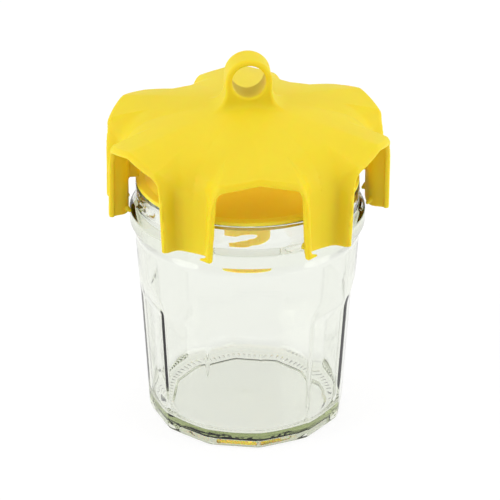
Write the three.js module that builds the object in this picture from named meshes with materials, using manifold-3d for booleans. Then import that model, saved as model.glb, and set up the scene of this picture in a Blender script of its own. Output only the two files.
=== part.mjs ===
// A wasp trap on a faceted jam jar: the glass jar, the funnel insert that plugs its mouth, and the
// umbrella hood that stands on the insert, clips over the neck on six legs and carries the hanging eye.
// Millimetres, +Z up. The origin is the centre of the jar's base and the jar's axis is Z. Azimuth 0 is
// -Y, the middle of the front arch, and azimuths grow towards +X.

import * as THREE from 'three';
import { mergeVertices } from 'three/addons/utils/BufferGeometryUtils.js';
import Module from 'manifold-3d';

const wasm = await Module();
wasm.setup();

// ---- driving dimensions ----

const GAP = 0.3; // between pieces that touch
const CLEAR = 15; // how far a cutter reaches past what it cuts

const jar = {
  height: 91, // base to rim
  facets: 12,
  cornerAzimuth: 2.95, // one facet corner, in degrees from the front
  heelRadius: 36.0, // facet corner to axis, just above the heel
  shoulderRadius: 40.0, // the round body, just below the bead
  shoulderHeight: 72,
  facetTop: 53.5, // top of each facet's arch
  facetCorner: 48.5, // where neighbouring facets meet the round body
  wall: 2.8,
  heel: 3, // heel rounding
  floor: 5, // inside floor above the table
  pushUp: 1.6, // underside's hollow at the centre
  beadRadius: 41.85,
  beadHeight: 79.7,
  neckRadius: 39.6,
  boreRadius: 37.0,
  threadRadius: 40.6, // crest of the slanted threads
  threads: 4,
};

const insert = {
  flangeRadius: 39.5,
  flange: 1.2, // thickness
  ringInner: 36.2, // flat ring's inside edge, where the cone starts
  plugRadius: 36.5,
  plugDepth: 2.7, // plug skirt below the rim
  coneTop: 105,
  boreRadius: 6.9,
  tubeRadius: 8.4,
  tubeBottom: 68.2,
  wall: 1.5,
};

const hood = {
  legs: 6,
  radius: 50.0,
  wall: 2.0,
  edgeRound: 1.2,
  crown: 120.6, // top of the roof on the axis
  archTop: 113.1, // roof over the middle of an arch
  gableDrop: 3.4, // from there to the arch's corner
  cornerAngle: 19, // the arch's corner, in degrees from its middle
  legBottom: 81.5,
  legSplit: 100, // where the roof's solid ends and the legs' solids start
  floorOuter: 43.9, // leg channel's floor, outside face
  legWall: 1.8,
  channelHalf: 7.5, // half the clear width between a leg's flanges, at their outer edges
  legHalf: 9.5, // half a leg's outside width there
  flare: 0.31, // how much wider each side gets for each millimetre further out
  fillet: 10, // how far in from a leg's floor the roof starts to bend down into it
  valleyHalf: 4, // half the width of the bend's bottom, before it rises to the flanges
  archPeak: 111.1, // underside of the arch's middle
  archCorner: 108.3,
  barbRadius: 41.5,
  barbWidth: 1.8,
  nibDepth: 1.4,
  ribInner: 38.2, // stop ribs, from here out to their legs
  ribWidth: 1.8,
};

const eye = {
  holeRadius: 5.9,
  outerRadius: 8.1,
  centre: 129.65,
  baseHalf: 11.5,
  baseHeight: 118.8,
  thickness: 10.5,
};

const ROUND = 48; // segments round a turned piece
const HOOD_ROUND = 120;
const ROOF_RINGS = [0, 0.2, 0.4, 0.55, 0.7, 0.8, 0.9, 0.97]; // shares of the roof's radius

const radians = THREE.MathUtils.degToRad;

// ---- helpers ----

// A closed geometry as a manifold solid, with its faces turned outwards.
function solidOf(geometry) {
  const bare = geometry.clone();
  bare.deleteAttribute('normal');
  bare.deleteAttribute('uv');
  const merged = mergeVertices(bare, 1e-4);
  const position = merged.attributes.position.array;
  const index = merged.index.array;
  const corner = (i) => new THREE.Vector3().fromArray(position, 3 * i);
  const triangles = [];
  let volume = 0;
  for (let i = 0; i < index.length; i += 3) {
    const [a, b, c] = index.slice(i, i + 3);
    if (a === b || b === c || c === a) continue;
    triangles.push(a, b, c);
    volume += corner(a).dot(corner(b).cross(corner(c)));
  }
  if (volume < 0) triangles.reverse();
  return new wasm.Manifold(new wasm.Mesh({
    numProp: 3,
    vertProperties: new Float32Array(position),
    triVerts: new Uint32Array(triangles),
  }));
}

function geometryOf(solid) {
  const mesh = solid.getMesh();
  const geometry = new THREE.BufferGeometry();
  geometry.setAttribute('position', new THREE.BufferAttribute(mesh.vertProperties, 3));
  geometry.setIndex(new THREE.BufferAttribute(mesh.triVerts, 1));
  return geometry;
}

// A turned solid about Z from [radius, height] points, first segment at a given azimuth.
function turned(points, segments = ROUND, azimuth = 0) {
  const profile = points.map(([radius, height]) => new THREE.Vector2(radius, height));
  return new THREE.LatheGeometry(profile, segments, radians(azimuth)).rotateX(Math.PI / 2);
}

// Moves each vertex by shape(radius, azimuth, height), which returns the new [radius, height].
function reshape(geometry, shape) {
  const position = geometry.attributes.position;
  for (let i = 0; i < position.count; i += 1) {
    const x = position.getX(i);
    const y = position.getY(i);
    const azimuth = Math.atan2(x, -y);
    const [radius, height] = shape(Math.hypot(x, y), azimuth, position.getZ(i));
    position.setXYZ(i, radius * Math.sin(azimuth), -radius * Math.cos(azimuth), height);
  }
  return geometry;
}

// The same piece at each of count places round the axis, starting at an azimuth in degrees.
function around(count, geometry, azimuth = 0) {
  return Array.from({ length: count }, (_, k) => {
    const turn = radians(azimuth + (360 / count) * k);
    return solidOf(geometry.clone().rotateZ(turn));
  });
}

function join(solids) {
  return solids.reduce((sum, solid) => sum.add(solid));
}

function smoothstep(low, high, x) {
  return THREE.MathUtils.smoothstep(x, low, high);
}

// How far an azimuth is from the nearest of the directions start + k * pitch, in radians.
function offDirection(azimuth, start, pitch) {
  const turn = (azimuth - start) / pitch;
  return (turn - Math.round(turn)) * pitch;
}

// ---- glass jar ----

// The round body's radius: one straight taper from the shoulder down to the heel.
function bodyRadius(height) {
  const t = (height - jar.heel) / (jar.shoulderHeight - jar.heel);
  return THREE.MathUtils.lerp(jar.heelRadius, jar.shoulderRadius, t);
}

// Cuts twelve flats into the tapered body. Each flat ends in an arch where it runs out of the glass.
function faceted(radius, azimuth, height) {
  if (height >= jar.facetTop) return [radius, height];
  const pitch = (2 * Math.PI) / jar.facets;
  const flat = Math.cos(pitch / 2);
  const rise = (height - jar.facetCorner) / (jar.facetTop - jar.facetCorner);
  const depth = THREE.MathUtils.lerp(flat, 1, Math.max(0, rise));
  const fromMiddle = offDirection(azimuth, radians(jar.cornerAzimuth) + pitch / 2, pitch);
  return [radius * Math.min(1, depth / Math.cos(fromMiddle)), height];
}

function jarOutside() {
  const { heel, heelRadius } = jar;
  const facetHeights = [jar.facetCorner, (jar.facetCorner + jar.facetTop) / 2, jar.facetTop];
  const points = [
    [0, jar.pushUp],
    [20, jar.pushUp * 0.8],
    [heelRadius - heel - 5, 0],
    [heelRadius - heel, 0],
    [heelRadius - heel * 0.29, heel * 0.29],
    [heelRadius, heel],
    ...facetHeights.map((height) => [bodyRadius(height), height]),
    [jar.shoulderRadius, jar.shoulderHeight],
    [jar.beadRadius - 0.35, jar.beadHeight - 3.2],
    [jar.beadRadius, jar.beadHeight - 1.2],
    [jar.beadRadius, jar.beadHeight],
    [jar.beadRadius - 0.65, jar.beadHeight + 1.6],
    [jar.neckRadius, jar.beadHeight + 2.6],
    [jar.neckRadius, jar.height - 1],
    [jar.neckRadius - 0.7, jar.height],
    [0, jar.height],
  ];
  return reshape(turned(points, ROUND, jar.cornerAzimuth), faceted);
}

function jarInside() {
  const { wall, floor } = jar;
  const fillet = 5;
  const points = [
    [0, floor],
    [jar.heelRadius - wall - fillet, floor],
    [jar.heelRadius - wall - fillet * 0.29, floor + fillet * 0.29],
    [bodyRadius(floor + fillet) - wall, floor + fillet],
    [jar.shoulderRadius - wall, jar.shoulderHeight],
    [jar.boreRadius, jar.shoulderHeight + 6],
    [jar.boreRadius, jar.height + 1],
    [0, jar.height + 1],
  ];
  return turned(points, ROUND, jar.cornerAzimuth);
}

// One slanted thread on the neck, rising to the right as a screw lid's thread does.
function thread() {
  const halfHeight = 0.9;
  const start = -8;
  const sweep = 42;
  const low = jar.beadHeight + 4.6;
  const rise = 2.4;
  const steps = 8;
  const middle = jar.threadRadius - 0.7;
  const route = Array.from({ length: steps + 1 }, (_, k) => {
    const azimuth = radians(start + (sweep * k) / steps);
    return new THREE.Vector3(
      middle * Math.sin(azimuth),
      -middle * Math.cos(azimuth),
      low + (rise * k) / steps,
    );
  });
  const section = new THREE.Shape();
  section.absellipse(0, 0, halfHeight, 0.7, 0, 2 * Math.PI);
  return new THREE.ExtrudeGeometry(section, {
    curveSegments: 4,
    steps,
    extrudePath: new THREE.CatmullRomCurve3(route),
  });
}

function glassJar() {
  const shell = solidOf(jarOutside()).subtract(solidOf(jarInside()));
  const outsideBore = solidOf(turned([
    [jar.boreRadius + 0.8, jar.beadHeight],
    [jar.threadRadius + 2, jar.beadHeight],
    [jar.threadRadius + 2, jar.height],
    [jar.boreRadius + 0.8, jar.height],
    [jar.boreRadius + 0.8, jar.beadHeight],
  ]));
  const threads = around(jar.threads, thread()).map((one) => one.intersect(outsideBore));
  return join([shell, ...threads]);
}

// ---- funnel insert ----

// One moulding: a flat ring on the rim, a plug skirt, a raised cone and the tube down into the jar.
function funnelInsert() {
  const { wall, ringInner, plugRadius, tubeRadius, boreRadius, coneTop } = insert;
  const seat = jar.height + GAP;
  const top = seat + insert.flange;
  const points = [
    [boreRadius, coneTop],
    [tubeRadius, coneTop],
    [ringInner, top],
    [insert.flangeRadius, top],
    [insert.flangeRadius, seat],
    [plugRadius, seat],
    [plugRadius, jar.height - insert.plugDepth],
    [plugRadius - wall, jar.height - insert.plugDepth],
    [plugRadius - wall, seat - 0.4],
    [tubeRadius, coneTop - 2 * wall],
    [tubeRadius - 0.2, insert.tubeBottom],
    [boreRadius - 0.2, insert.tubeBottom],
    [boreRadius, coneTop],
  ];
  return solidOf(turned(points));
}

// ---- hood ----

const LEG_PITCH = (2 * Math.PI) / hood.legs;
const LEG_PLACES = ['front_right', 'right', 'back_right', 'back_left', 'left', 'front_left'];

// The roof falls from the crown to the arches, a little more beside each arch's middle, and bends
// down in a parabola where it meets the floor of each leg's channel.
function roofDrop(radius, azimuth) {
  const share = radius / hood.radius;
  const fromArch = Math.abs(offDirection(azimuth, 0, LEG_PITCH));
  const fall = (hood.crown - hood.archTop) * share ** 1.3;
  const gable = hood.gableDrop * (fromArch / radians(hood.cornerAngle)) * share ** 3;
  const fromLeg = offDirection(azimuth, LEG_PITCH / 2, LEG_PITCH);
  const short = Math.max(0, hood.floorOuter - radius * Math.cos(fromLeg));
  const bend = Math.max(0, Math.sqrt(hood.fillet) - Math.sqrt(short)) ** 2;
  const side = Math.abs(radius * Math.sin(fromLeg));
  const sink = bend * (1 - smoothstep(hood.valleyHalf, hood.legHalf, side));
  return fall + Math.min(gable, hood.gableDrop * 1.2) + sink;
}

// A bell under the roof's surface, inset from the hood's outside all over.
function bell(inset, bottom) {
  const edge = hood.radius - inset;
  const crown = hood.crown - inset;
  const roof = ROOF_RINGS.map((share) => [edge * share, crown]);
  const points = [...roof, [edge, crown - hood.edgeRound], [edge, bottom], [0, bottom]];
  const shape = (radius, azimuth, height) => {
    if (height === bottom) return [radius, height];
    return [radius, height - roofDrop(radius, azimuth)];
  };
  return solidOf(reshape(turned(points, HOOD_ROUND), shape));
}

// Half a leg's width at a distance out, from its half width at the hood's outside.
function flared(half, out) {
  return half - hood.flare * (hood.radius - out);
}

// A column outside a radius, as wide as a leg's channel or as the leg itself, which widens outwards.
function legColumn(half, inner) {
  const outer = hood.radius + CLEAR;
  const low = hood.legBottom - CLEAR;
  const high = hood.crown + CLEAR;
  const plan = new THREE.Shape();
  plan.moveTo(-flared(half, inner), -inner);
  plan.lineTo(-flared(half, outer), -outer);
  plan.lineTo(flared(half, outer), -outer);
  plan.lineTo(flared(half, inner), -inner);
  plan.closePath();
  return new THREE.ExtrudeGeometry(plan, { depth: high - low, bevelEnabled: false }).translate(0, 0, low);
}

// The air in one arch: a low gable with rounded corners, as wide as the gap between two legs. It is
// drawn with half that gap as 1 across, then widened at each distance out to fit between the legs.
function archCutter() {
  const foot = hood.legBottom - CLEAR;
  const inner = hood.barbRadius - 0.5;
  const outer = hood.radius + CLEAR;
  const peak = hood.archPeak;
  const corner = hood.archCorner;
  const side = 0.9; // at the top of the sides, which draw in a little from the feet
  const sideTop = corner - 3.2;
  const shoulder = 0.74;
  const ridge = 0.12;
  const outline = new THREE.Shape();
  outline.moveTo(-1, foot);
  outline.lineTo(1, foot);
  outline.lineTo(side, sideTop);
  outline.quadraticCurveTo(side, corner - 0.4, shoulder, corner);
  outline.lineTo(ridge, peak - 0.3);
  outline.quadraticCurveTo(0, peak, -ridge, peak - 0.3);
  outline.lineTo(-shoulder, corner);
  outline.quadraticCurveTo(-side, corner - 0.4, -side, sideTop);
  outline.closePath();
  const cutter = new THREE.ExtrudeGeometry(outline, {
    depth: outer - inner,
    bevelEnabled: false,
    curveSegments: 4,
  });
  cutter.rotateX(Math.PI / 2);
  const sine = Math.sin(LEG_PITCH / 2);
  const cosine = Math.cos(LEG_PITCH / 2);
  const position = cutter.attributes.position;
  for (let i = 0; i < position.count; i += 1) {
    const out = inner - position.getY(i);
    const fromLegs = out * (sine - hood.flare * cosine) - flared(hood.legHalf, 0);
    const halfGap = fromLegs / (cosine + hood.flare * sine);
    position.setXYZ(i, position.getX(i) * halfGap, -out, position.getZ(i));
  }
  return cutter;
}

// A small wedge at the foot of a flange, pointing in over the jar's bead.
function barb(side) {
  const width = hood.barbWidth;
  const root = hood.floorOuter - hood.legWall / 2;
  const low = hood.legBottom;
  const profile = new THREE.Shape();
  profile.moveTo(-root, low);
  profile.lineTo(-hood.barbRadius, low + 0.7);
  profile.lineTo(-hood.barbRadius, low + 1.4);
  profile.lineTo(-root, low + 2.8);
  profile.closePath();
  const wedge = new THREE.ExtrudeGeometry(profile, { depth: width, bevelEnabled: false });
  wedge.rotateX(Math.PI / 2).rotateZ(Math.PI / 2);
  const middle = flared(hood.legHalf, root) - width / 2 - 0.1;
  return wedge.translate(side * middle - width / 2, 0, 0);
}

// The small nib at the foot of each flange beside the front arch, turned towards its leg's middle.
function footNib(side) {
  const depth = hood.nibDepth;
  const reach = hood.radius - depth - 0.9;
  const low = hood.legBottom;
  const edge = flared(hood.legHalf, reach) - 0.1;
  const tip = edge - 3.8;
  const outline = new THREE.Shape();
  outline.moveTo(edge, low + 0.9);
  outline.lineTo(edge, low - 0.2);
  outline.lineTo(tip, low - 0.8);
  outline.lineTo(tip, low - 0.3);
  outline.lineTo(edge - 1.8, low + 0.9);
  outline.closePath();
  const nib = new THREE.ExtrudeGeometry(outline, { depth, bevelEnabled: false });
  nib.rotateX(Math.PI / 2).translate(0, -reach, 0);
  return side > 0 ? nib : nib.rotateZ(Math.PI).scale(1, -1, 1);
}

// The rib behind a leg: it hangs from the roof and stands on the insert's ring.
function stopRib() {
  const low = jar.height + GAP + insert.flange + GAP;
  const high = hood.crown;
  const inner = hood.ribInner;
  const outer = hood.floorOuter - hood.legWall - GAP;
  const rib = new THREE.BoxGeometry(hood.ribWidth, outer - inner, high - low);
  return rib.translate(0, -(inner + outer) / 2, (low + high) / 2);
}

// The hanging eye: a short tube on a flared foot that follows the roof.
function hangingEye() {
  const { outerRadius, centre, baseHalf, baseHeight, thickness } = eye;
  const outline = new THREE.Shape();
  outline.moveTo(-baseHalf, baseHeight);
  outline.lineTo(baseHalf, baseHeight);
  outline.quadraticCurveTo(outerRadius, baseHeight + 2.5, outerRadius, centre);
  outline.absarc(0, centre, outerRadius, 0, Math.PI, false);
  outline.quadraticCurveTo(-outerRadius, baseHeight + 2.5, -baseHalf, baseHeight);
  const hole = new THREE.Path();
  hole.absarc(0, centre, eye.holeRadius, 0, 2 * Math.PI, true);
  outline.holes.push(hole);
  const solid = new THREE.ExtrudeGeometry(outline, {
    depth: thickness,
    bevelEnabled: false,
    curveSegments: 12,
  });
  const block = solidOf(solid.rotateX(Math.PI / 2).translate(0, thickness / 2, 0));
  return block.subtract(bell(-GAP, hood.legBottom));
}

// All the room between two heights.
function slab(low, high) {
  const width = 2 * (hood.radius + CLEAR);
  return new THREE.BoxGeometry(width, width, high - low).translate(0, 0, (low + high) / 2);
}

// The room round one leg between two heights.
function legSlab(low, high, azimuth) {
  const box = new THREE.BoxGeometry(2 * CLEAR, 2 * CLEAR, high - low);
  return box.translate(0, -hood.radius, (low + high) / 2).rotateZ(radians(azimuth));
}

// The roof with its arches and its six legs, still in one.
function umbrella() {
  const legAzimuth = 180 / hood.legs;
  const channels = around(hood.legs, legColumn(hood.channelHalf, hood.floorOuter), legAzimuth);
  const legs = around(hood.legs, legColumn(hood.legHalf, hood.floorOuter - hood.legWall), legAzimuth);
  const arches = around(hood.legs, archCutter());
  const outside = bell(0, hood.legBottom).subtract(join(channels));
  const inside = bell(hood.wall, hood.legBottom - 2).subtract(join(legs));
  const shell = outside.subtract(inside).subtract(join(arches));
  const barbs = [-1, 1].flatMap((side) => around(hood.legs, barb(side), legAzimuth));
  const nibs = [-1, 1].map((side) => {
    const turn = radians(-side * legAzimuth);
    return solidOf(footNib(side).rotateZ(turn));
  });
  return join([shell, ...barbs, ...nibs]);
}

// The hood is one moulding. It is drawn as a roof, six legs, their stop ribs and an eye, with a gap
// between them.
function hoodSolids() {
  const whole = umbrella();
  const roof = whole.intersect(solidOf(slab(hood.legSplit, hood.crown + CLEAR)));
  const legs = LEG_PLACES.map((place, k) => {
    const azimuth = (360 / hood.legs) * (k + 0.5);
    const region = legSlab(hood.legBottom - CLEAR, hood.legSplit - GAP, azimuth);
    return [`hood_leg_${place}`, whole.intersect(solidOf(region))];
  });
  const underRoof = bell(hood.wall + 3 * GAP, hood.legBottom);
  const ribs = around(hood.legs, stopRib(), 180 / hood.legs).map((rib, k) => {
    return [`hood_rib_${LEG_PLACES[k]}`, rib.intersect(underRoof)];
  });
  return [['hood_roof', roof], ...legs, ...ribs, ['hanging_eye', hangingEye()]];
}

// ---- the assembly ----

const glass = new THREE.MeshStandardMaterial({
  color: 0xe7eae5,
  roughness: 0.05,
  transparent: true,
  opacity: 0.4,
});
const hoodYellow = new THREE.MeshStandardMaterial({ color: 0xf9dd3c, roughness: 0.45 });
const insertYellow = new THREE.MeshStandardMaterial({ color: 0xf2cf34, roughness: 0.45 });

function piece(name, solid, material) {
  const mesh = new THREE.Mesh(geometryOf(solid), material);
  mesh.name = name;
  return mesh;
}

const trap = new THREE.Group();
trap.add(piece('glass_jar', glassJar(), glass));
trap.add(piece('funnel_insert', funnelInsert(), insertYellow));
hoodSolids().forEach(([name, solid]) => trap.add(piece(name, solid, hoodYellow)));

export default trap;
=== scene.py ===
"""A wasp trap on a faceted jam jar: the looks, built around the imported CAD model.

Shapes are worked out in millimetres in the row's own frame (+Z up, -Y the front) and become metres
when a mesh is made. The hood is one smooth moulding, so it is drawn as a distance field and meshed;
the insert and the jar are turned surfaces, and the jar's points are then pushed into facets, threads
and short bars.
"""

import math

import bmesh
import bpy
import numpy as np
from mathutils import Matrix, Vector


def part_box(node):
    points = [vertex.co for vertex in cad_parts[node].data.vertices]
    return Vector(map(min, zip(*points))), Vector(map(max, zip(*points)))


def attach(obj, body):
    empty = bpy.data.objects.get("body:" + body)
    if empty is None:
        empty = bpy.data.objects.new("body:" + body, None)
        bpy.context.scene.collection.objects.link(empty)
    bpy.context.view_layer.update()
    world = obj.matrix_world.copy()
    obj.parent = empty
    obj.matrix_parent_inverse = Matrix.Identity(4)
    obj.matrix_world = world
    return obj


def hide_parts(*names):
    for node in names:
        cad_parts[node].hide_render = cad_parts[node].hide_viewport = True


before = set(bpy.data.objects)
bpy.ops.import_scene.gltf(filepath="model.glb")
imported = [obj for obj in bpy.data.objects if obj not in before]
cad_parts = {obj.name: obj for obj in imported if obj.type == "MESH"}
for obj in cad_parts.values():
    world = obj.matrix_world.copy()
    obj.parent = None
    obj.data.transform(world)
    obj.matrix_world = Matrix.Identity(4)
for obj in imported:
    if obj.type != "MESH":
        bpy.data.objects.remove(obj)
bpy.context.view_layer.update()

MM = 0.001

HOOD_NODES = [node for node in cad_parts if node.startswith("hood_") or node == "hanging_eye"]
jar_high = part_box("glass_jar")[1] / MM
insert_low, insert_high = (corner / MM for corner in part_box("funnel_insert"))
roof_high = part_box("hood_roof")[1] / MM
foot_low = min(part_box(node)[0].z for node in HOOD_NODES) / MM
eye_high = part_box("hanging_eye")[1] / MM


# ---- camera ----

VIEW_AZIMUTH = math.radians(-5.05)  # the front arch sits a little to the right
VIEW_ELEVATION = math.radians(26.87)
VIEW_DISTANCE = 0.9944
VIEW_ROLL = math.radians(0.3)
AIM = Vector((0.001, 0.0, 0.0622))
LENS = 200  # in millimetres, as the sensor's width is
SENSOR_WIDTH = 36


def add_camera():
    """A long lens at the photograph's viewing angle."""
    out = Vector((math.sin(VIEW_AZIMUTH), -math.cos(VIEW_AZIMUTH), math.tan(VIEW_ELEVATION)))
    out.normalize()
    data = bpy.data.cameras.new("camera")
    data.lens = LENS
    data.sensor_width = SENSOR_WIDTH
    data.clip_start = 0.05
    data.clip_end = 20
    camera = bpy.data.objects.new("camera", data)
    bpy.context.scene.collection.objects.link(camera)
    stand = Matrix.Translation(AIM + out * VIEW_DISTANCE)
    facing = (-out).to_track_quat("-Z", "Y").to_matrix().to_4x4()
    camera.matrix_world = stand @ facing @ Matrix.Rotation(VIEW_ROLL, 4, "Z")
    bpy.context.scene.camera = camera


# ---- mesh helpers ----


def mesh_object(name, points, faces, normals=None):
    """An object from points in millimetres, shaded smooth, with its own normals if they are given."""
    mesh = bpy.data.meshes.new(name)
    mesh.from_pydata((np.asarray(points) * MM).tolist(), [], faces)
    mesh.polygons.foreach_set("use_smooth", [True] * len(mesh.polygons))
    if normals is not None:
        mesh.normals_split_custom_set_from_vertices(normals.tolist())
    obj = bpy.data.objects.new(name, mesh)
    bpy.context.scene.collection.objects.link(obj)
    return obj


def rounded_path(corners, longest):
    """The outline through (radius, height, fillet) corners, with each fillet drawn as a curve.
    Straight stretches get extra points so that none is longer than the given length."""
    arc_steps = 6
    path = []
    count = len(corners)
    for i, (r, z, fillet) in enumerate(corners):
        here = Vector((r, z))
        if fillet == 0 or i in (0, count - 1):
            path.append(here)
            continue
        back = (Vector(corners[i - 1][:2]) - here).normalized()
        ahead = (Vector(corners[i + 1][:2]) - here).normalized()
        half = back.angle(ahead) / 2
        reach = fillet / math.tan(half)
        start = here + back * reach
        end = here + ahead * reach
        for k in range(arc_steps + 1):
            t = k / arc_steps
            path.append(start * (1 - t) ** 2 + here * 2 * t * (1 - t) + end * t ** 2)
    dense = [path[0]]
    for a, b in zip(path, path[1:]):
        pieces = max(1, math.ceil((b - a).length / longest))
        dense += [a.lerp(b, k / pieces) for k in range(1, pieces + 1)]
    return [tuple(p) for p in dense]


def turned(name, path, segments, shape=None, closed=False):
    """A surface of revolution. shape(radius, azimuth, height, place) may move the points; place is
    each point's index along the path. A closed path is joined end to start, and an open one starts
    and ends on the axis."""
    path = np.array(path)
    azimuth = np.arange(segments) * 2 * np.pi / segments
    place, turn = np.meshgrid(np.arange(len(path)), azimuth, indexing="ij")
    radius, height = path[place, 0], path[place, 1]
    if shape:
        radius, height = shape(radius, turn, height, place)
    points = np.stack([radius * np.sin(turn), -radius * np.cos(turn), height], axis=-1).reshape(-1, 3)
    rows = len(path) if closed else len(path) - 1
    here = np.arange(rows)[:, None] * segments + np.arange(segments)
    above = (np.arange(rows)[:, None] + 1) % len(path) * segments + np.arange(segments)
    right = np.roll(here, -1, axis=1)
    above_right = np.roll(above, -1, axis=1)
    faces = np.stack([here, right, above_right, above], axis=-1).reshape(-1, 4).tolist()
    obj = mesh_object(name, points, faces)
    if not closed:
        close_poles(obj)
    return obj


def close_poles(obj):
    """Welds the rings of points that lie on the axis into single points."""
    work = bmesh.new()
    work.from_mesh(obj.data)
    on_axis = [v for v in work.verts if math.hypot(v.co.x, v.co.y) < 1e-6]
    bmesh.ops.remove_doubles(work, verts=on_axis, dist=1e-5)
    work.to_mesh(obj.data)
    work.free()


def surface_net(field, low, step):
    """Points and quads of the surface where a sampled field is zero; the field is below zero inside."""
    inside = field < 0
    cells = tuple(n - 1 for n in field.shape)
    total = np.zeros(cells + (3,), np.float32)
    hits = np.zeros(cells, np.float32)
    crossings = []
    for axis in range(3):
        near = [slice(None)] * 3
        far = [slice(None)] * 3
        near[axis] = slice(0, -1)
        far[axis] = slice(1, None)
        near, far = tuple(near), tuple(far)
        where = np.argwhere(inside[near] != inside[far])
        a = field[near][tuple(where.T)]
        b = field[far][tuple(where.T)]
        spot = where.astype(np.float32)
        spot[:, axis] += a / (a - b)
        side_1, side_2 = [k for k in range(3) if k != axis]
        keep = (where[:, side_1] > 0) & (where[:, side_2] > 0)
        keep &= (where[:, side_1] < cells[side_1]) & (where[:, side_2] < cells[side_2])
        where, spot, a = where[keep], spot[keep], a[keep]
        around = []
        for d1, d2 in ((-1, -1), (0, -1), (0, 0), (-1, 0)):
            cell = where.copy()
            cell[:, side_1] += d1
            cell[:, side_2] += d2
            np.add.at(total, tuple(cell.T), spot)
            np.add.at(hits, tuple(cell.T), 1)
            around.append(cell)
        crossings.append((around, (a < 0) ^ (axis == 1)))
    used = hits > 0
    number = np.full(cells, -1, np.int64)
    number[used] = np.arange(used.sum())
    points = total[used] / hits[used][:, None] * step + np.asarray(low)
    quads = []
    for around, flip in crossings:
        quad = np.stack([number[tuple(cell.T)] for cell in around], axis=1)
        quad[~flip] = quad[~flip][:, ::-1]
        quads.append(quad)
    return points, np.concatenate(quads)


def gradient(field, points, step=0.02):
    """The field's slope at points, by central differences."""
    slope = np.empty_like(points)
    for axis in range(3):
        shift = np.zeros(3)
        shift[axis] = step
        slope[:, axis] = (field(points + shift) - field(points - shift)) / (2 * step)
    return slope


def field_object(name, field, low, high, step):
    """Meshes a distance field and settles each point exactly onto its surface."""
    axes = [np.arange(a, b + step, step) for a, b in zip(low, high)]
    sampled = np.empty([len(a) for a in axes], np.float32)
    plane = np.stack(np.meshgrid(axes[0], axes[1], indexing="ij"), axis=-1).reshape(-1, 2)
    for k, height in enumerate(axes[2]):
        layer = np.column_stack([plane, np.full(len(plane), height)])
        sampled[:, :, k] = field(layer).reshape(sampled.shape[:2])
    points, quads = surface_net(sampled, low, step)
    for _ in range(2):
        slope = gradient(field, points)
        length = np.maximum((slope ** 2).sum(axis=1, keepdims=True), 0.05)
        points = points - np.clip(field(points)[:, None] / length, -0.3, 0.3) * slope
    slope = gradient(field, points)
    normals = slope / np.linalg.norm(slope, axis=1, keepdims=True)
    return mesh_object(name, points, quads.tolist(), normals)


# ---- field helpers ----


def smooth_max(a, b, width):
    """The larger of two fields, with the edge where they cross rounded over."""
    overlap = np.maximum(width - np.abs(a - b), 0) / width
    return np.maximum(a, b) + overlap ** 2 * width / 4


def smooth_min(a, b, width):
    """The smaller of two fields, rounded in the same way."""
    return -smooth_max(-a, -b, width)


def soft_abs(a, width):
    """The size of a number, with the kink at nought rounded over."""
    return np.sqrt(a ** 2 + width ** 2) - width


def ramp(low, high, a):
    """Nought up to low, one from high on, and an even S between."""
    t = np.clip((a - low) / (high - low), 0, 1)
    return t * t * (3 - 2 * t)


def capsule(points, start, end, radius_start, radius_end):
    """A rod with round ends, from start to end, that may taper."""
    start, end = np.array(start), np.array(end)
    along = end - start
    t = np.clip((points - start) @ along / (along @ along), 0, 1)
    away = np.linalg.norm(points - start - t[:, None] * along, axis=1)
    return away - (radius_start + (radius_end - radius_start) * t)


# ---- hood ----

LEGS = 6
PITCH = 2 * math.pi / LEGS
HOOD_WALL = 1.9
HALF_WALL = HOOD_WALL / 2
HOOD_RADIUS = roof_high.y + 0.2  # over the arches' rounded edges
LEG_FOOT = 81.5
CROWN = 120.6
ARCH_TOP = 113.1  # roof over the middle of an arch
GABLE_SLOPE = 0.23
ARCH_PEAK = 111.1  # underside of an arch's middle
ARCH_SLOPE = 0.25
CHANNEL_FLOOR = 42.9  # middle of the wall at the bottom of a leg's channel
CHANNEL_HALF = 7.8  # middle of a leg's flange at its outer edge, from the leg's middle
FLARE = 0.31  # how much a flange leans outwards
DRAFT = 0.055  # how much wider a leg gets with height
FILLET = 10.0  # where the roof bends down into a leg's floor
LEG_TOP = 110  # height at which a leg's corners have opened out into the roof
RING_TOP = 92.5  # the insert's ring, which the ribs come down to
RIB_INNER = 38.2
RIB_WIDTH = 1.8
EYE_CENTRE = 129.65
EYE_RADIUS = 8.1
EYE_HOLE = 5.9
EYE_HALF = eye_high.y
STEM_TOP = 126.5  # height at which the eye's stem starts to flare
STEM_FLARE = 3.6  # how far it has flared 8 mm lower


def leg_coordinates(points):
    """Radius, sideways offset from the nearest leg's middle, distance out along it, and sideways
    offset from the nearest arch's middle."""
    x, y = points[:, 0], points[:, 1]
    radius = np.hypot(x, y)
    azimuth = np.arctan2(x, -y)
    off_leg = np.mod(azimuth, PITCH) - PITCH / 2
    off_arch = PITCH / 2 - np.abs(off_leg)
    return radius, radius * np.sin(off_leg), radius * np.cos(off_leg), radius * np.sin(off_arch)


def late_rise(a, width):
    """Nought up to nought, then a soft start that settles to a steady rise."""
    a = np.maximum(a, 0)
    return a * a / (a + width)


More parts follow.
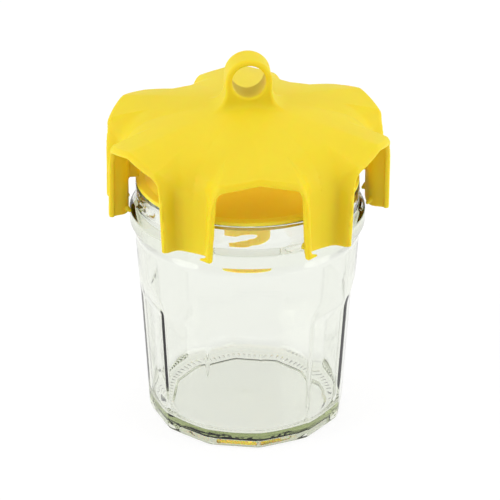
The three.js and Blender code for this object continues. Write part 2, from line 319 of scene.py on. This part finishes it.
def hood_bell(points):
    """The solid inside the middle of the hood's wall: a bell with a channel sunk in for each leg."""
    radius, side, out, across = leg_coordinates(points)
    height = points[:, 2]
    share = radius / HOOD_RADIUS
    fall = (CROWN - ARCH_TOP) * share ** 1.3
    gable = GABLE_SLOPE * soft_abs(across, 0.8) * share ** 2
    roof = height - (CROWN - HALF_WALL - fall - gable)
    bell = smooth_max(roof, radius - (HOOD_RADIUS - HALF_WALL), 1.2)
    softness = 1 + 6 * ramp(LEG_TOP - 10, LEG_TOP, height)
    edge = HOOD_RADIUS - HALF_WALL - out
    half_width = CHANNEL_HALF + (1 + softness) / 2 - FLARE * edge + DRAFT * (height - LEG_FOOT)
    flank = half_width - np.abs(side)
    bend = smooth_max(roof, out - CHANNEL_FLOOR, FILLET)
    rise = late_rise(flank - bell, softness)
    depth = np.maximum(bend - bell, 0)
    # A high power makes the corner of the channel tight, as it is low down.
    power = 4 - 2 * ramp(LEG_TOP - 9, LEG_TOP, height)
    return bell + rise * depth / (rise ** power + depth ** power + 0.001) ** (1 / power)


def hood_shell(points):
    """A wall of even thickness along the bell, open at the arches and cut off at the feet, with
    every free edge rounded."""
    field = hood_bell(points)
    slope = np.linalg.norm(gradient(hood_bell, points, 0.1), axis=1)
    from_wall = field / np.maximum(slope, 0.3)
    _, side, _, across = leg_coordinates(points)
    height = points[:, 2]
    under_arch = ARCH_PEAK + HALF_WALL - ARCH_SLOPE * soft_abs(across, 0.8) - height
    rim = CHANNEL_HALF + 0.6 + DRAFT * (height - LEG_FOOT) + 0.6 * ramp(LEG_TOP - 8, LEG_TOP, height)
    in_arch = smooth_min(under_arch, np.abs(side) - rim, 3)
    foot = LEG_FOOT + HALF_WALL - 0.6 * (1 - np.clip(side / CHANNEL_HALF, -1, 1) ** 2)
    past_edge = np.maximum(np.maximum(in_arch, foot - height), 0)
    return (from_wall ** 4 + past_edge ** 4) ** 0.25 - HALF_WALL


def hanging_eye(points):
    """A short round-edged tube along Y on a stem that flares out where it meets the roof."""
    x, y, z = points.T
    flare = STEM_FLARE * np.clip((STEM_TOP - z) / 8, 0, 1.2) ** 2
    ring = np.hypot(x, np.maximum(z - EYE_CENTRE, 0)) - EYE_RADIUS - flare
    outline = np.maximum(ring, CROWN - 3.5 - z)
    body = smooth_max(outline, np.abs(y) - EYE_HALF, 1.4)
    hole = EYE_HOLE - np.hypot(x, z - EYE_CENTRE)
    return smooth_max(body, hole, 1.0)


def stop_ribs(points):
    """The rib behind each leg that hangs from the roof and ends just above the insert's ring."""
    _, side, out, _ = leg_coordinates(points)
    height = points[:, 2]
    rib = smooth_max(np.abs(side) - RIB_WIDTH / 2, RIB_INNER - out, 0.8)
    rib = smooth_max(rib, RING_TOP + 0.3 - height, 0.8)
    return np.maximum(np.maximum(rib, hood_bell(points)), out - CHANNEL_FLOOR)


def barbs_and_nibs(points):
    """The wedge inside each flange's foot, and the nibs on the feet beside the front arch. Ends of
    rods are given sideways from the leg's middle, outwards and up."""
    _, side, out, _ = leg_coordinates(points)
    local = np.column_stack([np.abs(side), out, points[:, 2]])
    wedge = capsule(local, (6.2, 43.0, LEG_FOOT + 2.4), (6.2, 42.1, LEG_FOOT + 1.1), 0.9, 0.7)
    nib = capsule(local, (8.6, 48.9, LEG_FOOT + 0.9), (5.4, 48.6, LEG_FOOT + 0.5), 0.75, 0.5)
    beside_front = np.abs(np.arctan2(points[:, 0], -points[:, 1])) < PITCH / 2
    return np.minimum(wedge, np.where(beside_front, nib, 9.0))


def hood_field(points):
    """The whole hood as one moulding."""
    shell = smooth_min(hood_shell(points), barbs_and_nibs(points), 0.8)
    ribbed = smooth_min(shell, stop_ribs(points), 0.8)
    return smooth_min(ribbed, hanging_eye(points), 2.5)


def make_hood():
    margin = 1.5
    low = [-HOOD_RADIUS - margin, -HOOD_RADIUS - margin, foot_low - margin]
    high = [HOOD_RADIUS + margin, HOOD_RADIUS + margin, eye_high.z + margin]
    step = 0.55
    return field_object("hood_moulding", hood_field, low, high, step)


# ---- glass jar ----

JAR_HEIGHT = jar_high.z
FACETS = 12
FACET_CORNER = math.radians(2.95)  # azimuth of one corner
HEEL_RADIUS = 36.0
SHOULDER_RADIUS = 40.0
SHOULDER_HEIGHT = 72.0
BEAD_RADIUS = 41.85
BEAD_HEIGHT = 79.7
NECK_RADIUS = 39.6
BORE_RADIUS = 37.0
GLASS = 2.8
FACET_TOP = 48.5  # the facets fade out over FACET_FADE above this
FACET_FADE = 5.0
THREADS = 6
THREAD_HALF = math.radians(31)  # half the angle that one thread covers
THREAD_MIDDLE = BEAD_HEIGHT + 3.8
THREAD_RISE = 3.4  # how far a thread's end lies above its middle
BARS = 84  # short bars pressed into the seat
BAR_INNER = 28.6
BAR_OUTER = 32.2
BAR_DEPTH = 0.2


def nearest_offset(azimuth, start, pitch):
    """The angle from the nearest of the directions that lie a pitch apart from start on."""
    turn = (azimuth - start) / pitch
    return (turn - np.round(turn)) * pitch


def jar_path():
    """Outside from the middle of the base up, over the rim, and down inside to the floor."""
    outside = [
        (0, 1.6, 0),
        (26.5, 0.9, 2),
        (28.2, 0, 1.2),
        (HEEL_RADIUS - 0.3, 0, 3.2),
        (SHOULDER_RADIUS, SHOULDER_HEIGHT, 4),
        (BEAD_RADIUS, 76.2, 1.6),
        (BEAD_RADIUS, 80.6, 1.2),
        (NECK_RADIUS, 82.6, 1.0),
        (NECK_RADIUS, JAR_HEIGHT, 1.1),
        (BORE_RADIUS, JAR_HEIGHT, 0.9),
    ]
    inside = [
        (BORE_RADIUS, 79.5, 3),
        (SHOULDER_RADIUS - GLASS, SHOULDER_HEIGHT - 2, 3),
        (HEEL_RADIUS - GLASS, 5, 5),
        (18, 5.2, 4),
        (0, 6, 0),
    ]
    return rounded_path(outside + inside, longest=1.2)


def jar_shape(rim_place):
    """What presses the facets, the threads and the base's ring of short bars into the turned jar.
    Inside, the blown wall follows the facets above the base."""
    pitch = 2 * math.pi / FACETS
    flat = math.cos(pitch / 2)

    def shape(radius, azimuth, height, place):
        outside = place <= rim_place
        faded = np.maximum((height - FACET_TOP) / FACET_FADE, 0)
        depth = flat + (1 - flat) * faded
        off_middle = nearest_offset(azimuth, FACET_CORNER + pitch / 2, pitch)
        facet = smooth_min(np.ones_like(radius), depth / np.cos(off_middle), 0.026)
        followed = 1 + 0.9 * (facet - 1) * ramp(5.5, 14, height)
        faceted = radius * np.where(outside, facet, followed)
        turn = nearest_offset(azimuth, THREAD_HALF, 2 * math.pi / THREADS) / THREAD_HALF
        middle = THREAD_MIDDLE + THREAD_RISE * turn
        crest = np.clip(1 - (height - middle) ** 2, 0, 1) * ramp(1.0, 0.85, np.abs(turn))
        in_neck = (height > 82) & (height < JAR_HEIGHT - 1)
        threaded = np.maximum(faceted, np.where(in_neck, NECK_RADIUS + crest, 0))
        along_bar = ramp(BAR_INNER, BAR_INNER + 0.6, radius) * ramp(BAR_OUTER, BAR_OUTER - 0.6, radius)
        bars = ramp(0.1, 0.5, np.cos(azimuth * BARS)) * along_bar
        lifted = height + np.where(height < BAR_DEPTH, BAR_DEPTH * bars, 0)
        return np.where(outside, threaded, faceted), np.where(outside, lifted, height)

    return shape


def make_jar():
    """The jar's mesh. Its outside ends at the innermost of the path's highest points."""
    path = jar_path()
    rim_place = max(range(len(path)), key=lambda k: (path[k][1], -path[k][0]))
    segments = 504
    return turned("jar_glass_body", path, segments, jar_shape(rim_place))


# ---- funnel insert ----


def make_insert():
    """Flat ring, plug skirt, raised cone and down tube, as one turned moulding."""
    seat = JAR_HEIGHT + 0.08  # the ring rests on the rim with a hair of air
    cone_top = insert_high.z
    tube_foot = insert_low.z
    ring_radius = insert_high.y
    corners = [
        (7.0, cone_top - 6, 0),
        (6.9, cone_top, 0.7),
        (8.4, cone_top, 0.7),
        (36.2, RING_TOP - 0.1, 0.9),
        (37.0, RING_TOP, 0.4),
        (ring_radius, RING_TOP, 0.5),
        (ring_radius, seat, 0.3),
        (36.5, seat, 0.3),
        (36.5, JAR_HEIGHT - 2.7, 0.5),
        (35.0, JAR_HEIGHT - 2.7, 0.5),
        (35.0, seat - 0.6, 1.2),
        (8.4, cone_top - 3.0, 1.5),
        (8.2, tube_foot, 0.6),
        (6.7, tube_foot, 0.6),
        (6.95, cone_top - 12, 0),
    ]
    return turned("insert_moulding", rounded_path(corners, longest=3.0), 192, closed=True)


# ---- materials ----

PLASTIC_ROUGHNESS = 0.52
ROUGHNESS_SPREAD = 0.05  # how far the skin varies to either side


def new_material(name):
    """A material with its nodes and links."""
    material = bpy.data.materials.new(name)
    material.use_nodes = True
    return material, material.node_tree.nodes, material.node_tree.links


def plastic(name, light, deep):
    """Satin moulded polypropylene: a little cloudiness in the colour and a very fine skin."""
    material, nodes, links = new_material(name)
    shader = nodes["Principled BSDF"]
    coordinates = nodes.new("ShaderNodeTexCoord")
    cloud = nodes.new("ShaderNodeTexNoise")
    cloud.inputs["Scale"].default_value = 45
    cloud.inputs["Detail"].default_value = 3
    links.new(coordinates.outputs["Object"], cloud.inputs["Vector"])
    colours = nodes.new("ShaderNodeValToRGB")
    colours.color_ramp.elements[0].position = 0.3
    colours.color_ramp.elements[0].color = (*deep, 1)
    colours.color_ramp.elements[1].position = 0.7
    colours.color_ramp.elements[1].color = (*light, 1)
    links.new(cloud.outputs["Fac"], colours.inputs["Fac"])
    links.new(colours.outputs["Color"], shader.inputs["Base Color"])
    grain = nodes.new("ShaderNodeTexNoise")
    grain.inputs["Scale"].default_value = 900
    grain.inputs["Detail"].default_value = 2
    links.new(coordinates.outputs["Object"], grain.inputs["Vector"])
    bump = nodes.new("ShaderNodeBump")
    bump.inputs["Strength"].default_value = 0.12
    bump.inputs["Distance"].default_value = 0.0002
    links.new(grain.outputs["Fac"], bump.inputs["Height"])
    links.new(bump.outputs["Normal"], shader.inputs["Normal"])
    rough = nodes.new("ShaderNodeMapRange")
    rough.inputs["To Min"].default_value = PLASTIC_ROUGHNESS - ROUGHNESS_SPREAD
    rough.inputs["To Max"].default_value = PLASTIC_ROUGHNESS + ROUGHNESS_SPREAD
    links.new(cloud.outputs["Fac"], rough.inputs["Value"])
    links.new(rough.outputs["Result"], shader.inputs["Roughness"])
    shader.inputs["IOR"].default_value = 1.49
    shader.inputs["Specular IOR Level"].default_value = 0.22
    shader.inputs["Subsurface Weight"].default_value = 0.7
    shader.inputs["Subsurface Radius"].default_value = (1.0, 0.5, 0.06)
    shader.inputs["Subsurface Scale"].default_value = 0.0025
    return material


def jar_glass():
    """Soda-lime glass, faintly olive where one looks along it."""
    material, nodes, links = new_material("jar_glass")
    shader = nodes["Principled BSDF"]
    shader.inputs["Base Color"].default_value = (0.962, 0.968, 0.965, 1)
    shader.inputs["Transmission Weight"].default_value = 1
    shader.inputs["IOR"].default_value = 1.51
    coordinates = nodes.new("ShaderNodeTexCoord")
    haze = nodes.new("ShaderNodeTexNoise")
    haze.inputs["Scale"].default_value = 60
    links.new(coordinates.outputs["Object"], haze.inputs["Vector"])
    rough = nodes.new("ShaderNodeMapRange")
    rough.inputs["To Min"].default_value = 0.0
    rough.inputs["To Max"].default_value = 0.02
    links.new(haze.outputs["Fac"], rough.inputs["Value"])
    links.new(rough.outputs["Result"], shader.inputs["Roughness"])
    ripple = nodes.new("ShaderNodeBump")
    ripple.inputs["Strength"].default_value = 0.1
    ripple.inputs["Distance"].default_value = 0.0004
    links.new(haze.outputs["Fac"], ripple.inputs["Height"])
    links.new(ripple.outputs["Normal"], shader.inputs["Normal"])
    tint = nodes.new("ShaderNodeVolumeAbsorption")
    tint.inputs["Color"].default_value = (0.46, 0.54, 0.13, 1)
    tint.inputs["Density"].default_value = 30
    links.new(tint.outputs["Volume"], nodes["Material Output"].inputs["Volume"])
    return material


def floor_material():
    """A matte white sheet on a light table, which glows a little."""
    material, nodes, links = new_material("pale_floor")
    shader = nodes["Principled BSDF"]
    shader.inputs["Base Color"].default_value = (0.15, 0.15, 0.15, 1)
    shader.inputs["Roughness"].default_value = 0.9
    shader.inputs["Specular IOR Level"].default_value = 0.1
    shader.inputs["Emission Color"].default_value = (1, 1, 1, 1)
    coordinates = nodes.new("ShaderNodeTexCoord")
    away = nodes.new("ShaderNodeVectorMath")
    away.operation = "LENGTH"
    links.new(coordinates.outputs["Object"], away.inputs[0])
    glow = nodes.new("ShaderNodeMapRange")
    glow.inputs["From Min"].default_value = 0.45
    glow.inputs["From Max"].default_value = 1.2
    glow.inputs["To Min"].default_value = 0.87
    glow.inputs["To Max"].default_value = 0.6
    links.new(away.outputs["Value"], glow.inputs["Value"])
    links.new(glow.outputs["Result"], shader.inputs["Emission Strength"])
    return material


# ---- studio ----


def area_light(name, place, aim, size, power, colour=(1, 1, 1), hidden=False):
    """A round soft light, which may be hidden from view, from reflections and through glass."""
    data = bpy.data.lights.new(name, "AREA")
    data.shape = "DISK"
    data.size = size
    data.energy = power
    data.color = colour
    light = bpy.data.objects.new(name, data)
    light.location = place
    light.rotation_euler = (Vector(aim) - Vector(place)).to_track_quat("-Z", "Y").to_euler()
    light.visible_camera = light.visible_glossy = light.visible_transmission = not hidden
    bpy.context.scene.collection.objects.link(light)


def make_world():
    """An even white room that is darker on the camera's side."""
    world = bpy.data.worlds.new("studio")
    world.use_nodes = True
    nodes, links = world.node_tree.nodes, world.node_tree.links
    backdrop = nodes["Background"]
    backdrop.inputs["Color"].default_value = (1, 1, 1, 1)
    toward = nodes.new("ShaderNodeTexCoord")
    parts = nodes.new("ShaderNodeSeparateXYZ")
    links.new(toward.outputs["Generated"], parts.inputs["Vector"])
    strength = nodes.new("ShaderNodeMapRange")
    strength.inputs["From Min"].default_value = -0.85
    strength.inputs["From Max"].default_value = -0.25
    strength.inputs["To Min"].default_value = 0.35
    strength.inputs["To Max"].default_value = 0.8
    links.new(parts.outputs["Y"], strength.inputs["Value"])
    links.new(strength.outputs["Result"], backdrop.inputs["Strength"])
    bpy.context.scene.world = world


def make_studio():
    """The floor, the lights and the room around them."""
    half = 3.0
    top = 0.0001  # a hair above the jar's seat, so that the two faces don't share a plane
    corners = [(-half, -half, top), (half, -half, top), (half, half, top), (-half, half, top)]
    floor = mesh_object("floor", np.array(corners) / MM, [(0, 1, 2, 3)])
    floor.data.materials.append(floor_material())
    middle = (0, 0, 0.08)
    area_light("left", (-1.42, -0.57, 0.7), middle, 1.2, 11)
    area_light("right", (1.42, -0.57, 0.7), middle, 1.2, 11)
    area_light("top", (0, 0.2, 1.9), middle, 1.6, 4.8)
    # Two small fills for light that clear glass and thin plastic let through.
    area_light("through_hood", (0, 0, 0.113), (0, 0, 0), 0.05, 0.0055, (1, 0.9, 0.8), hidden=True)
    area_light("through_glass", (0, 0, 0.04), (0, 0, 0.1), 0.06, 0.02, hidden=True)
    make_world()
    bpy.context.scene.view_settings.view_transform = "Standard"
    # Light meets many surfaces of glass on its way through the jar, and would end there as black.
    bpy.context.scene.cycles.max_bounces = 24
    bpy.context.scene.cycles.transmission_bounces = 24


# ---- assembly ----


def add_piece(obj, body, nodes, material):
    """Gives a piece its material and its place in the frame."""
    obj.data.materials.append(material)
    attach(obj, body)
    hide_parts(*nodes)


add_camera()
hood_yellow = plastic("hood_plastic", (0.80, 0.65, 0.022), (0.78, 0.62, 0.018))
# The insert is the hood's yellow plastic painted lighter: painted light, standing in for the light that
# comes through the thin hood into the shade under it.
insert_yellow_painted_light = plastic("insert_plastic", (0.96, 0.75, 0.07), (0.95, 0.72, 0.06))
add_piece(make_hood(), "hood", HOOD_NODES, hood_yellow)
add_piece(make_insert(), "insert", ["funnel_insert"], insert_yellow_painted_light)
add_piece(make_jar(), "jar", ["glass_jar"], jar_glass())
make_studio()
